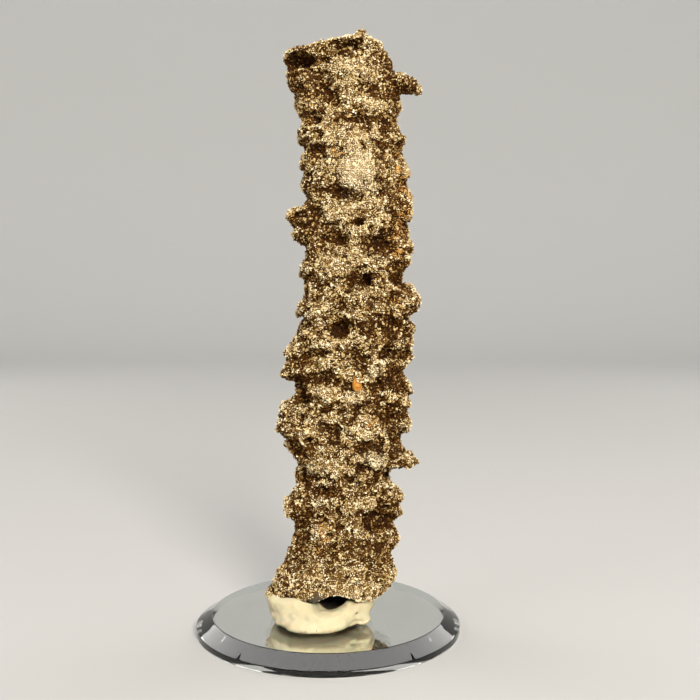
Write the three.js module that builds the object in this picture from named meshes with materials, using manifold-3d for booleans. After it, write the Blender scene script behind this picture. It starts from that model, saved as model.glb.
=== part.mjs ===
// A fulgurite standing upright in a lump of mounting putty on a round bevelled mirror.
//
// A fulgurite is a tube of sand that a lightning strike has fused. Its outside is a knobbly crust of
// sand grains with drooping ledges, round nodules and deep pits, and a narrow bore, the lumen, runs
// through it from end to end. It grew as one piece, so it is one node. The putty and the mirror's glass
// and backing are the pieces that hold it.
//
// Millimetres, +Z up, front towards -Y. The origin is the centre of the mirror's underside.

import * as THREE from 'three';
import { mergeVertices } from 'three/addons/utils/BufferGeometryUtils.js';
import { ImprovedNoise } from 'three/addons/math/ImprovedNoise.js';
import Module from 'manifold-3d';

// ---- driving dimensions -------------------------------------------------------------------------

const MIRROR_RADIUS = 38.1;      // a three inch disc
const MIRROR_THICKNESS = 5.0;
const BACKING_THICKNESS = 0.4;
const MIRROR_RIM_TOP = 2.0;      // height of the upright edge below the bevel
const BEVEL_WIDTH = 4.5;
const MIRROR_SEGMENTS = 72;

const FIT_GAP = 0.3;             // clearance between the fulgurite and the putty that it stands in

const TUBE_AROUND = 42;          // columns of the crust
const TUBE_UP = 71;              // rows of the crust
const TUBE_DEPTH_CENTRE = -3;    // Y of the tube's axis
const END_INSET = 0.72;          // size of the inner ring on the broken ends
const DROOP = 0.22;              // how far raised relief sags for each millimetre that it stands out
const CRUST_ROUGHNESS = 0.62;
const CRUST_GRAIN = 3.4;
const BLUNTNESS = 0.4;           // below 0.5 the lobes are flatter than a ball
const RISE_ABOVE = 1.15;         // how much taller a lobe is above its middle than below it
const DROP_BELOW = 0.75;
const END_BULGE = { foot: 0.3, rim: 0.9 };   // how far the broken ends stand in or out inside the edge
const RIM_ROUGHNESS = 0.7;
const RIM_CHIPS = 3;             // chips in the rim on each side

const SKIRT_TOP = 29;            // below this height the crust is smoother

// Sections of the tube, from the foot up: height, axis X, half width and half depth.
const SECTIONS = [
  [10, -0.2, 17.3, 12.6],
  [15, 1.6, 16.0, 12.2],
  [21, 2.9, 14.9, 11.2],
  [30, 4.6, 13.9, 10.6],
  [45, 5.0, 13.7, 11.2],
  [58, 5.5, 15.6, 12.2],
  [70, 6.0, 15.4, 12.4],
  [82, 7.0, 15.0, 12.0],
  [100, 7.6, 14.4, 11.4],
  [124, 7.7, 13.6, 10.8],
  [140, 6.6, 13.3, 10.4],
  [152, 5.8, 13.6, 10.4],
  [168, 4.0, 14.0, 10.6],
];

// Heights of the broken foot and rim at eight bearings: right, back right, back, back left, left,
// front left, front, front right.
const FOOT_HEIGHTS = [12.6, 12.4, 12.0, 10.6, 9.6, 10.8, 13.8, 11.2];
const RIM_HEIGHTS = [158.8, 157.6, 160.4, 162.6, 164.0, 164.2, 165.6, 166.0];

const LUMEN_SECTIONS = [
  [8, 2.6, 7.4, 5.6],
  [60, 4.8, 6.6, 4.8],
  [120, 6.2, 6.4, 4.7],
  [172, 4.8, 7.6, 5.2],
];
const LUMEN_AROUND = 14;
const LUMEN_UP = 20;
const LUMEN_GRAIN = 7;
const LUMEN_ROUGHNESS = 0.12;

// ---- relief of the front, placed by hand --------------------------------------------------------
// Each row: X, height, half width, half height, how far it stands out (or how deep it goes).

const FRONT_LEDGES = [
  [3, 165.6, 9, 2.2, 1.4],
  [6, 157.2, 6, 2.6, 1.6],
  [10, 148.0, 5, 2.6, 1.5],
  [-2, 141.8, 6, 1.8, 1.6],
  [2, 138.2, 8, 2.0, 1.5],
  [-2, 131.0, 5, 2.4, 1.3],
  [8, 129.5, 6, 6.4, 1.5],
  [17, 131.0, 2, 5.6, 1.4],
  [3, 119.0, 4.5, 3.4, 1.4],
  [9, 115.0, 4, 2.0, 1.6],
  [15, 116.0, 4, 2.2, 1.7],
  [18, 111.5, 4, 2.6, 1.8],
  [-4, 104.0, 4, 2.2, 1.5],
  [3, 103.5, 4, 3.8, 1.7],
  [10, 104.0, 5, 2.4, 1.4],
  [16, 98.5, 5, 2.0, 1.8],
  [6, 96.2, 4, 2.2, 1.7],
  [-4, 92.0, 4.5, 3.4, 1.5],
  [16, 92.5, 4, 4.2, 1.5],
  [0, 83.2, 12, 2.2, 2.4],
  [13, 84.2, 6, 2.4, 1.3],
  [1, 77.6, 4, 2.6, 1.6],
  [14, 78.2, 3, 2.2, 1.8],
  [12.5, 74.8, 2.4, 1.8, 2.2],
  [7.5, 72.6, 3, 2.6, 2.0],
  [0, 69.6, 5, 3.0, 2.0],
  [6, 66.6, 4, 2.2, 1.8],
  [17, 67.6, 4, 1.8, 2.0],
  [-5, 64.6, 3, 3.0, 1.6],
  [9, 59.6, 6, 4.6, 2.4],
  [-8, 58.0, 6, 4.8, 2.0],
  [15.5, 54.8, 3, 3.4, 2.0],
  [13, 51.2, 6, 2.0, 2.4],
  [0, 49.4, 7, 3.4, 2.0],
  [9, 46.8, 5, 2.2, 2.0],
  [16, 43.4, 4, 2.6, 1.8],
  [-7.5, 41.2, 3.4, 3.6, 1.8],
  [2, 38.4, 9, 2.8, 1.6],
  [12, 38.4, 3.4, 2.4, 1.6],
  [9, 32.6, 4, 2.4, 1.5],
  [-1, 31.6, 5, 3.2, 1.2],
];

const FRONT_HOLLOWS = [
  [6.5, 161.8, 5.4, 2.6, 2.6],
  [-1, 153.2, 3.6, 2.6, 1.6],
  [-0.2, 150.6, 2.8, 2.2, 2.8],
  [10.6, 151.8, 3.2, 2.8, 1.8],
  [10.2, 142.8, 4.0, 1.6, 2.2],
  [15.8, 142.6, 2.6, 2.0, 1.8],
  [-3.6, 143.6, 4.2, 1.4, 1.6],
  [-6.4, 138.2, 2.4, 2.4, 1.8],
  [-3.6, 134.6, 4.2, 2.0, 1.6],
  [14.2, 136.4, 2.8, 1.8, 1.6],
  [-6.6, 130.0, 2.2, 2.4, 2.0],
  [0.8, 125.6, 4.8, 1.6, 1.6],
  [4.8, 123.0, 3.0, 2.4, 2.8],
  [-4.4, 118.6, 5.0, 2.4, 2.4],
  [8.6, 116.6, 2.4, 2.4, 1.8],
  [1.2, 111.6, 4.4, 4.0, 2.4],
  [13.4, 109.4, 5.4, 2.6, 3.6],
  [17.4, 112.6, 2.6, 3.4, 2.0],
  [20.2, 101.4, 4.2, 4.6, 2.6],
  [8.8, 100.6, 3.0, 4.0, 3.0],
  [-0.8, 97.2, 2.4, 2.2, 1.6],
  [-6.4, 94.6, 2.2, 2.2, 1.8],
  [3.0, 93.8, 3.0, 1.8, 1.4],
  [20.8, 91.2, 4.2, 3.4, 2.4],
  [-7.4, 87.2, 4.4, 3.2, 2.6],
  [2.8, 87.8, 4.0, 4.4, 3.2],
  [11.4, 87.4, 4.0, 4.2, 1.6],
  [7.8, 81.4, 2.4, 3.0, 2.2],
  [17.6, 80.8, 3.4, 2.8, 2.6],
  [10.0, 77.6, 1.8, 4.2, 2.0],
  [-2.6, 73.6, 7.0, 1.8, 2.4],
  [5.6, 71.2, 3.4, 2.8, 2.8],
  [13.8, 71.6, 2.6, 4.0, 3.2],
  [18.6, 72.4, 4.0, 3.4, 3.2],
  [-8.4, 67.6, 4.0, 5.0, 2.8],
  [6.8, 64.4, 4.4, 2.8, 2.2],
  [13.4, 66.0, 4.6, 2.6, 1.8],
  [18.4, 62.4, 3.4, 4.6, 2.4],
  [1.8, 58.6, 5.4, 2.4, 2.6],
  [19.4, 56.4, 3.8, 3.6, 2.8],
  [11.4, 54.4, 5.0, 1.8, 2.4],
  [18.0, 45.6, 6.0, 2.0, 3.4],
  [-7.2, 45.2, 5.8, 2.8, 2.8],
  [7.4, 43.8, 4.2, 2.4, 2.4],
  [12.4, 44.4, 2.8, 3.6, 2.8],
  [-1.8, 42.0, 3.6, 1.8, 1.8],
  [13.6, 34.4, 6.4, 3.2, 3.0],
  [1.4, 35.6, 4.6, 2.8, 1.6],
];

// ---- relief of the two sides, placed by hand ----------------------------------------------------
// Each row: X that the lobe reaches, height, half width, half height and bearing away from the side
// towards the front, in degrees.

const LEFT_LEDGES = [
  [-11.6, 160.6, 9, 4.6, 14],
  [-10.8, 155.4, 7, 4.1, 8],
  [-8.6, 148.2, 5, 2.7, 15],
  [-9.0, 140.4, 6, 3.0, 5],
  [-7.9, 133.4, 5, 3.0, 20],
  [-8.6, 128.6, 5, 2.7, 0],
  [-12.2, 118.6, 4.2, 2.5, 12],
  [-10.7, 113.8, 5, 2.9, 5],
  [-7.9, 103.6, 5, 2.6, 15],
  [-8.8, 93.4, 5, 2.6, 5],
  [-10.4, 86.2, 7, 2.2, 20],
  [-13.0, 81.0, 6, 2.8, 10],
  [-13.6, 75.4, 6, 3.1, 15],
  [-14.8, 63.8, 7, 3.0, 5],
  [-15.0, 59.6, 7, 3.2, 15],
  [-12.2, 54.2, 6, 2.4, 5],
  [-11.6, 45.2, 5, 1.8, 15],
  [-13.1, 38.6, 5, 2.0, 10],
  [-13.1, 35.2, 5, 2.0, 15],
  [-14.4, 17.2, 5, 2.4, 12],
  [-17.4, 12.4, 6, 2.8, 12],
];

const RIGHT_LEDGES = [
  [17.8, 159.0, 7, 3.4, 25],
  [20.8, 149.6, 5, 2.7, 10],
  [22.3, 140.0, 6, 2.2, 15],
  [22.5, 131.8, 5, 2.6, 5],
  [23.0, 130.0, 5, 2.7, 25],
  [24.3, 124.0, 5, 3.0, 10],
  [24.0, 119.0, 5, 2.7, 20],
  [24.2, 110.6, 6, 2.6, 10],
  [23.8, 106.2, 5, 2.7, 20],
  [26.3, 97.0, 8, 2.4, 5],
  [26.4, 93.2, 8, 3.0, 20],
  [25.2, 88.0, 7, 2.8, 5],
  [24.6, 82.6, 6, 3.0, 20],
  [24.2, 78.4, 5, 2.0, 10],
  [24.9, 70.2, 6, 2.2, 10],
  [23.4, 66.6, 5, 2.7, 25],
  [22.9, 59.4, 5, 3.0, 15],
  [25.3, 50.4, 8, 2.2, 10],
  [22.1, 40.2, 6, 2.2, 15],
  [22.4, 34.8, 5, 2.4, 5],
  [19.6, 17.0, 7, 3.5, 10],
];

// ---- knobs that stand clear of the crust --------------------------------------------------------
// Each row: centre X, Y and height, then half width, half depth, half height and tilt in degrees,
// turned down to the right.

const KNOBS = [
  [19.8, -4.0, 155.2, 4.8, 5.2, 2.9, 4],
  [23.1, -4.0, 154.5, 3.8, 4.0, 2.5, 30],
  [9.5, -10.2, 165.4, 2.5, 2.7, 3.4, 0],
  [-8.0, -5.6, 118.8, 4.2, 4.4, 2.5, -10],
  [20.6, -4.0, 49.9, 5.2, 6.0, 2.2, 12],
];

const KNOB_ROUGHNESS = 0.3;

// ---- relief of the sides and back, scattered with a fixed seed ----------------------------------

const SCATTER_SEED = 41;
const SCATTERED_LEDGES = 90;
const SCATTERED_HOLLOWS = 60;
const BACK_FROM = 12;            // bearings in degrees, counter-clockwise from +X, that the relief
const BACK_TO = 168;             // placed by hand doesn't reach

// ---- pits cut into the crust: centre X, Y and height, then half width, depth and height ---------

const PITS = [
  [-8.4, -10.2, 160.2, 5.2, 4.8, 2.3],
  [7.6, -14.0, 162.6, 3.4, 3.0, 1.7],
  [-7.0, -10.4, 118.8, 2.4, 3.2, 1.7],
  [14.2, -13.4, 109.2, 3.4, 3.4, 1.8],
  [3.0, -15.4, 87.8, 2.4, 3.6, 2.6],
  [19.2, -12.2, 71.8, 2.6, 3.4, 2.2],
  [9.0, -14.6, 101.6, 1.7, 3.0, 2.2],
];

// ---- putty: height, then reach to the right, back, left and front of its centre -----------------

const PUTTY_CENTRE = [-2.2, -5.0];
const PUTTY_PROFILE = [
  [5.0, 11.6, 12.2, 11.6, 13.2],
  [5.9, 12.7, 13.2, 12.8, 14.5],
  [7.6, 13.9, 13.9, 14.2, 14.6],
  [9.6, 14.6, 14.2, 15.1, 13.7],
  [11.4, 14.8, 14.0, 15.4, 12.3],
  [12.6, 13.8, 12.8, 14.4, 10.6],
];
const PUTTY_TOP = 12.8;
const PUTTY_AROUND = 36;
const PUTTY_TOP_RINGS = [0.7, 0.4];
const PUTTY_NOTCH = { x: 1.6, halfWidth: 5.2, depth: 2.6, from: 8 };
// The dish pressed into the top and the lobes at the sides are pebbles, as the knobs are.
const PUTTY_DISH = [1.8, -6.5, 12.6, 5.4, 7.6, 4.6];
const PUTTY_LOBES = [
  [7.5, -11.2, 7.2, 4.3, 3.8, 1.7],
  [-10.2, -11.6, 8.4, 4.6, 4.4, 2.9],
];

// ---- numbers, noise and sections ----------------------------------------------------------------

const noise = new ImprovedNoise();

function seededRandom(seed) {
  let state = seed;
  return () => {
    state = (state + 0x6d2b79f5) | 0;
    let mixed = Math.imul(state ^ (state >>> 15), 1 | state);
    mixed = (mixed + Math.imul(mixed ^ (mixed >>> 7), 61 | mixed)) ^ mixed;
    return ((mixed ^ (mixed >>> 14)) >>> 0) / 2 ** 32;
  };
}

function between(random, low, high) {
  return low + (high - low) * random();
}

// Knobbly noise of a given grain size, about -1 to 1.
function knobbly(point, size) {
  const { x, y, z } = point;
  const coarse = noise.noise(x / size, y / size, z / size);
  const fine = noise.noise(2.3 * x / size + 9, 2.3 * y / size, 2.3 * z / size);
  return coarse + 0.5 * fine;
}

// The row of a section table at a height, blended smoothly between its neighbours.
function sectionAt(sections, height) {
  let upper = 1;
  while (upper < sections.length - 1 && sections[upper][0] < height) {
    upper += 1;
  }
  const low = sections[upper - 1];
  const high = sections[upper];
  const share = THREE.MathUtils.smoothstep(height, low[0], high[0]);
  return low.slice(1).map((value, i) => THREE.MathUtils.lerp(value, high[i + 1], share));
}

// A value given at equal bearings around the circle, blended smoothly between them.
function aroundCircle(values, angle) {
  const turn = THREE.MathUtils.euclideanModulo(angle / (2 * Math.PI), 1) * values.length;
  const index = Math.floor(turn);
  const share = THREE.MathUtils.smoothstep(turn - index, 0, 1);
  return THREE.MathUtils.lerp(values[index % values.length], values[(index + 1) % values.length], share);
}

function sectionPoint(sections, angle, height, scale = 1) {
  const [axis, halfWidth, halfDepth] = sectionAt(sections, height);
  return new THREE.Vector3(
    axis + scale * halfWidth * Math.cos(angle),
    TUBE_DEPTH_CENTRE + scale * halfDepth * Math.sin(angle),
    height,
  );
}

// ---- meshes -------------------------------------------------------------------------------------

// A closed surface through rings of points, each ring counter-clockwise seen from above, the lowest
// ring first, with a point that closes each end.
function closedTube(rings, bottom, top) {
  const around = rings[0].length;
  const points = [bottom, ...rings.flat(), top];
  const faces = [];
  const at = (ring, column) => 1 + ring * around + (column % around);
  const last = points.length - 1;
  for (let column = 0; column < around; column += 1) {
    faces.push(0, at(0, column + 1), at(0, column));
    faces.push(last, at(rings.length - 1, column), at(rings.length - 1, column + 1));
    for (let ring = 0; ring < rings.length - 1; ring += 1) {
      const corners = [
        at(ring, column),
        at(ring, column + 1),
        at(ring + 1, column + 1),
        at(ring + 1, column),
      ];
      const turned = (ring + column) % 2;
      const [a, b, c, d] = turned ? [...corners.slice(1), corners[0]] : corners;
      faces.push(a, b, c, a, c, d);
    }
  }
  const geometry = new THREE.BufferGeometry().setFromPoints(points);
  geometry.setIndex(faces);
  return geometry;
}

function ringOf(around, pointAt) {
  return Array.from({ length: around }, (_, column) => pointAt((2 * Math.PI * column) / around));
}

// ---- solids -------------------------------------------------------------------------------------

const wasm = await Module();
wasm.setup();

function solid(geometry) {
  const bare = geometry.clone();
  bare.deleteAttribute('normal');
  bare.deleteAttribute('uv');
  const merged = mergeVertices(bare, 1e-4);
  return new wasm.Manifold(new wasm.Mesh({
    numProp: 3,
    vertProperties: new Float32Array(merged.attributes.position.array),
    triVerts: new Uint32Array(merged.index.array),
  }));
}

function geometryOf(manifold) {
  const { vertProperties, triVerts } = manifold.getMesh();
  const geometry = new THREE.BufferGeometry();
  geometry.setAttribute('position', new THREE.BufferAttribute(vertProperties, 3));
  geometry.setIndex(new THREE.BufferAttribute(triVerts, 1));
  return geometry;
}

// ---- the fulgurite ------------------------------------------------------------------------------

// Relief rows of the front are given by X, so their bearing comes from the section at their height.
function frontRelief([x, height, halfWidth, halfHeight, amount]) {
  const [axis, sectionHalfWidth] = sectionAt(SECTIONS, height);
  const share = THREE.MathUtils.clamp((x - axis) / sectionHalfWidth, -1, 1);
  return { point: sectionPoint(SECTIONS, -Math.acos(share), height), halfWidth, halfHeight, amount };
}

// Relief rows of the sides give the X that the lobe reaches, and stand on a bearing of their own.
function sideRelief(side) {
  return ([reach, height, halfWidth, halfHeight, towardsFront]) => {
    const turn = THREE.MathUtils.degToRad(towardsFront);
    const point = sectionPoint(SECTIONS, side > 0 ? -turn : Math.PI + turn, height);
    return { point, halfWidth, halfHeight, amount: side * (reach - point.x) };
  };
}

function scatteredRelief(random, count, widths, heights, amounts) {
  const [low, high] = [SECTIONS[1][0], SECTIONS.at(-1)[0]];
  return Array.from({ length: count }, (_, i) => {
    const bearing = THREE.MathUtils.degToRad(between(random, BACK_FROM, BACK_TO));
    return {
      point: sectionPoint(SECTIONS, bearing, THREE.MathUtils.lerp(low, high, (i + random()) / count)),
      halfWidth: between(random, ...widths),
      halfHeight: between(random, ...heights),
      amount: between(random, ...amounts),
    };
  });
}

// How far the strongest dome of a relief list reaches at a point. Ledges are cut off sharper below.
function reliefAt(list, point) {
  let strongest = 0;
  for (const { point: centre, halfWidth, halfHeight, amount } of list) {
    const rise = point.z - centre.z;
    const across = Math.hypot(point.x - centre.x, point.y - centre.y) / halfWidth;
    const up = rise / (halfHeight * (rise < 0 ? DROP_BELOW : RISE_ABOVE));
    strongest = Math.max(strongest, amount * Math.max(0, 1 - across ** 2 - up ** 2) ** BLUNTNESS);
  }
  return strongest;
}

function crustSurface(ledges, hollows) {
  return (angle, height, grow) => {
    const base = sectionPoint(SECTIONS, angle, height);
    const [, halfWidth, halfDepth] = sectionAt(SECTIONS, height);
    const outward = new THREE.Vector3(Math.cos(angle) / halfWidth, Math.sin(angle) / halfDepth, 0);
    const raised = reliefAt(ledges, base) - reliefAt(hollows, base);
    const rough = CRUST_ROUGHNESS * THREE.MathUtils.smoothstep(height, 0, SKIRT_TOP);
    base.addScaledVector(outward.normalize(), raised + rough * knobbly(base, CRUST_GRAIN) + grow);
    base.z -= DROOP * Math.max(0, raised);
    return base;
  };
}

// The outer skin from the foot to the rim, made larger all round by grow.
function crustGeometry(surface, grow) {
  const foot = angle => aroundCircle(FOOT_HEIGHTS, angle) - grow;
  const chip = angle => noise.noise(RIM_CHIPS * Math.cos(angle), RIM_CHIPS * Math.sin(angle), 0.5);
  const rim = angle => aroundCircle(RIM_HEIGHTS, angle) + RIM_ROUGHNESS * chip(angle);
  const side = share => ringOf(TUBE_AROUND, angle => (
    surface(angle, THREE.MathUtils.lerp(foot(angle), rim(angle), share), grow)
  ));
  const end = (height, bulge) => ringOf(TUBE_AROUND, (angle) => {
    const point = sectionPoint(SECTIONS, angle, height(angle), END_INSET);
    point.z += bulge;
    return point;
  });
  const sides = Array.from({ length: TUBE_UP + 1 }, (_, row) => side(row / TUBE_UP));
  const middle = heights => heights.reduce((sum, value) => sum + value, 0) / heights.length;
  return closedTube(
    [end(foot, END_BULGE.foot), ...sides, end(rim, END_BULGE.rim)],
    new THREE.Vector3(SECTIONS[0][1], TUBE_DEPTH_CENTRE, middle(FOOT_HEIGHTS) - grow),
    new THREE.Vector3(SECTIONS.at(-1)[1], TUBE_DEPTH_CENTRE, middle(RIM_HEIGHTS)),
  );
}

function lumenGeometry() {
  const bottom = LUMEN_SECTIONS[0][0];
  const top = LUMEN_SECTIONS.at(-1)[0];
  const ring = height => ringOf(LUMEN_AROUND, (angle) => {
    const point = sectionPoint(LUMEN_SECTIONS, angle, height);
    const swell = 1 + LUMEN_ROUGHNESS * knobbly(point, LUMEN_GRAIN);
    const axis = sectionAt(LUMEN_SECTIONS, height)[0];
    return new THREE.Vector3(
      axis + swell * (point.x - axis),
      TUBE_DEPTH_CENTRE + swell * (point.y - TUBE_DEPTH_CENTRE),
      height,
    );
  });
  const rings = Array.from({ length: LUMEN_UP + 1 }, (_, row) => (
    ring(THREE.MathUtils.lerp(bottom, top, row / LUMEN_UP))
  ));
  return closedTube(
    rings,
    new THREE.Vector3(LUMEN_SECTIONS[0][1], TUBE_DEPTH_CENTRE, bottom),
    new THREE.Vector3(LUMEN_SECTIONS.at(-1)[1], TUBE_DEPTH_CENTRE, top),
  );
}

// A rough pebble: a squashed ball with knobs, tilted about the Y axis.
function pebbleGeometry([x, y, z, halfWidth, halfDepth, halfHeight, tilt = 0]) {
  const geometry = new THREE.IcosahedronGeometry(1, 1);
  const position = geometry.attributes.position;
  const radii = new THREE.Vector3(halfWidth, halfDepth, halfHeight);
  const point = new THREE.Vector3();
  for (let i = 0; i < position.count; i += 1) {
    point.fromBufferAttribute(position, i).multiply(radii);
    point.multiplyScalar(1 + KNOB_ROUGHNESS * knobbly(point, CRUST_GRAIN));
    position.setXYZ(i, point.x, point.y, point.z);
  }
  return geometry.rotateY(THREE.MathUtils.degToRad(tilt)).translate(x, y, z);
}

function fulguriteSolid(surface) {
  let body = solid(crustGeometry(surface, 0));
  for (const knob of KNOBS) {
    body = body.add(solid(pebbleGeometry(knob)));
  }
  for (const pit of PITS) {
    body = body.subtract(solid(pebbleGeometry(pit)));
  }
  return body.subtract(solid(lumenGeometry()));
}

// ---- the putty ----------------------------------------------------------------------------------

function puttySolid(surface) {
  const [centreX, centreY] = PUTTY_CENTRE;
  const point = (angle, height, [right, back, left, front], scale) => {
    const dip = PUTTY_NOTCH;
    const x = centreX + scale * Math.cos(angle) * (Math.cos(angle) > 0 ? right : left);
    const y = centreY + scale * Math.sin(angle) * (Math.sin(angle) > 0 ? back : front);
    const notch = Math.max(0, 1 - ((x - dip.x) / dip.halfWidth) ** 2) * (Math.sin(angle) < 0 ? dip.depth : 0);
    const lift = THREE.MathUtils.smoothstep(height, dip.from, PUTTY_TOP);
    return new THREE.Vector3(x, y, height - lift * notch);
  };
  const rings = PUTTY_PROFILE.map(([height, ...reach]) => (
    ringOf(PUTTY_AROUND, angle => point(angle, height, reach, 1))
  ));
  const rimReach = PUTTY_PROFILE.at(-1).slice(1);
  for (const scale of PUTTY_TOP_RINGS) {
    rings.push(ringOf(PUTTY_AROUND, angle => point(angle, PUTTY_TOP, rimReach, scale)));
  }
  let lump = solid(closedTube(
    rings,
    new THREE.Vector3(centreX, centreY, PUTTY_PROFILE[0][0]),
    new THREE.Vector3(centreX, centreY, PUTTY_TOP),
  ));
  for (const lobe of PUTTY_LOBES) {
    lump = lump.add(solid(pebbleGeometry(lobe)));
  }
  return lump
    .subtract(solid(pebbleGeometry(PUTTY_DISH)))
    .subtract(solid(crustGeometry(surface, FIT_GAP)));
}

// ---- the mirror ---------------------------------------------------------------------------------

function lathe(profile) {
  return new THREE.LatheGeometry(profile.map(([r, z]) => new THREE.Vector2(r, z)), MIRROR_SEGMENTS)
    .rotateX(Math.PI / 2);
}

function mirrorGlassGeometry() {
  return lathe([
    [0, BACKING_THICKNESS],
    [MIRROR_RADIUS, BACKING_THICKNESS],
    [MIRROR_RADIUS, MIRROR_RIM_TOP],
    [MIRROR_RADIUS - BEVEL_WIDTH, MIRROR_THICKNESS],
    [0, MIRROR_THICKNESS],
  ]);
}

function mirrorBackingGeometry() {
  return lathe([
    [0, 0],
    [MIRROR_RADIUS, 0],
    [MIRROR_RADIUS, BACKING_THICKNESS],
    [0, BACKING_THICKNESS],
  ]);
}

// ---- materials and the scene graph --------------------------------------------------------------

const FUSED_SAND = new THREE.MeshStandardMaterial({ color: 0x8a7448, roughness: 0.85, metalness: 0 });
const CREAM_PUTTY = new THREE.MeshStandardMaterial({ color: 0xe6e0be, roughness: 0.6, metalness: 0 });
const MIRROR_GLASS = new THREE.MeshStandardMaterial({ color: 0xdfe8e6, roughness: 0.03, metalness: 0 });
const MIRROR_BACK = new THREE.MeshStandardMaterial({ color: 0x8c8c8c, roughness: 0.4, metalness: 0.6 });

function named(name, geometry, material) {
  geometry.computeVertexNormals();
  const mesh = new THREE.Mesh(geometry, material);
  mesh.name = name;
  return mesh;
}

const random = seededRandom(SCATTER_SEED);
const surface = crustSurface(
  [
    ...FRONT_LEDGES.map(frontRelief),
    ...LEFT_LEDGES.map(sideRelief(-1)),
    ...RIGHT_LEDGES.map(sideRelief(1)),
    ...scatteredRelief(random, SCATTERED_LEDGES, [3.5, 8.5], [1.8, 3.4], [1.4, 3.6]),
  ],
  [
    ...FRONT_HOLLOWS.map(frontRelief),
    ...scatteredRelief(random, SCATTERED_HOLLOWS, [2.4, 4.8], [1.6, 3.2], [1.4, 3.0]),
  ],
);

const fulgurite = new THREE.Group();
fulgurite.add(
  named('fulgurite', geometryOf(fulguriteSolid(surface)), FUSED_SAND),
  named('mounting_putty', geometryOf(puttySolid(surface)), CREAM_PUTTY),
  named('mirror_glass', mirrorGlassGeometry(), MIRROR_GLASS),
  named('mirror_backing', mirrorBackingGeometry(), MIRROR_BACK),
);

export default fulgurite;
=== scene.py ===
"""A fulgurite standing upright in a lump of mounting putty on a round bevelled mirror.

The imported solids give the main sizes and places, in metres. The crust is an even skin over the
fulgurite's solid with nodules and pits pressed into it, and one Geometry Nodes tree scatters the sand
grains over that skin. The putty is a softened copy of its solid, and the mirror is turned to the size
of its two.
"""

import itertools
import math

import bmesh
import bpy
import numpy as np
from bpy.props import FloatProperty, FloatVectorProperty, IntProperty, PointerProperty
from mathutils import Matrix, Vector
from mathutils.bvhtree import BVHTree


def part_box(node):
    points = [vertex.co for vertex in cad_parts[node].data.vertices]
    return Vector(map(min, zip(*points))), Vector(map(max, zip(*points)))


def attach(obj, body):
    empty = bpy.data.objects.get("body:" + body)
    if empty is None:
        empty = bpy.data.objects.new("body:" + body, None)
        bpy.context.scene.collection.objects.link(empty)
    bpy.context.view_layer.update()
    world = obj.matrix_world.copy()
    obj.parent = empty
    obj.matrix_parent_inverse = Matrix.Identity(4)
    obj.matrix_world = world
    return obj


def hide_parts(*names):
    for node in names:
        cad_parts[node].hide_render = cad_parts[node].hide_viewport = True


bl_info = {
    "name": "Fulgurite on a mirror",
    "version": (1, 0, 0),
    "blender": (4, 5, 0),
    "location": "View3D > Sidebar > Fulgurite",
    "description": "Builds the crust, grains, putty and mirror of a mounted fulgurite",
    "category": "Object",
}

BODY = "root"
MM = 0.001
BAKE_MAP = "OFBake"

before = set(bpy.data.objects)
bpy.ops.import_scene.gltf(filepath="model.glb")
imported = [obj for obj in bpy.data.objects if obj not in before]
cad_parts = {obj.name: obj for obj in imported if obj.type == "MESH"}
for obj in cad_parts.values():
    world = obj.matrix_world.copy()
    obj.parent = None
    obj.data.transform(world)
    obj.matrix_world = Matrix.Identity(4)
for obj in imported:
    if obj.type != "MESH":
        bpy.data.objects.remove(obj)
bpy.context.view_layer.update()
CRUST_LOW, CRUST_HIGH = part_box("fulgurite")
PUTTY_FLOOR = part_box("mounting_putty")[0].z
GLASS_LOW, GLASS_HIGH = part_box("mirror_glass")
BACK_LOW, BACK_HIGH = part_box("mirror_backing")

# The lumen's axis: height and X, with its Y and the radius inside which a wall belongs to it.
LUMEN_AXIS = ((8 * MM, 2.6 * MM), (60 * MM, 4.8 * MM), (120 * MM, 6.2 * MM), (172 * MM, 4.8 * MM))
LUMEN_Y = -3 * MM
LUMEN_REACH = 10.5 * MM

# The fine lumps and grit of the crust: height, width and layer of noise.
CRUST_LUMPS = ((0.3 * MM, 1.7 * MM, 80), (0.12 * MM, 0.8 * MM, 81))
# How far the crust is sunk, to make up for what stands out.
CRUST_SUNK = 0.35 * MM
# How strong the fine relief is: height and share of its full depth.
RELIEF_STRENGTH = ((10 * MM, 0.25), (24 * MM, 0.35), (36 * MM, 0.9), (92 * MM, 1.0), (124 * MM, 0.65))

# Spots on the front of the crust, each with its X, height, half width, half height and amount.
RUST_STAINS = (
    (20.8, 119.0, 3.4, 16.0, 0.8),
    (20.6, 130.5, 2.8, 5.5, 0.8),
    (21.0, 106.0, 2.8, 5.0, 0.5),
    (-5.0, 147.0, 1.6, 4.4, 1.0),
    (2.6, 135.2, 1.4, 1.8, 1.0),
    (11.8, 62.6, 1.6, 2.6, 1.0),
    (-1.6, 29.8, 2.6, 5.2, 0.9),
    (9.8, 160.4, 1.6, 1.6, 0.8),
    (17.6, 94.0, 2.6, 1.8, 0.8),
    (12.5, 92.0, 2.4, 2.0, 0.6),
    (-12.8, 18.6, 1.2, 1.0, 1.0),
    (-9.6, 118.6, 1.2, 1.2, 0.8),
)
# The lip of dark glass that hangs below the crust at the foot, and the way it is pushed, in millimetres.
GLASSY_LIP = ((-2.4, 12.9, 3.6, 1.3, 1.0),)
LIP_PUSH = (0, -1.3, -1.0)
# Whitish nodules.
CHALK_SPOTS = (
    (12.4, 51.4, 4.0, 1.9, 1.0),
    (6.8, 68.8, 1.9, 2.1, 1.0),
    (13.0, 75.5, 2.4, 1.6, 1.0),
    (8.5, 130.0, 5.4, 6.6, 1.0),
)
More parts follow.
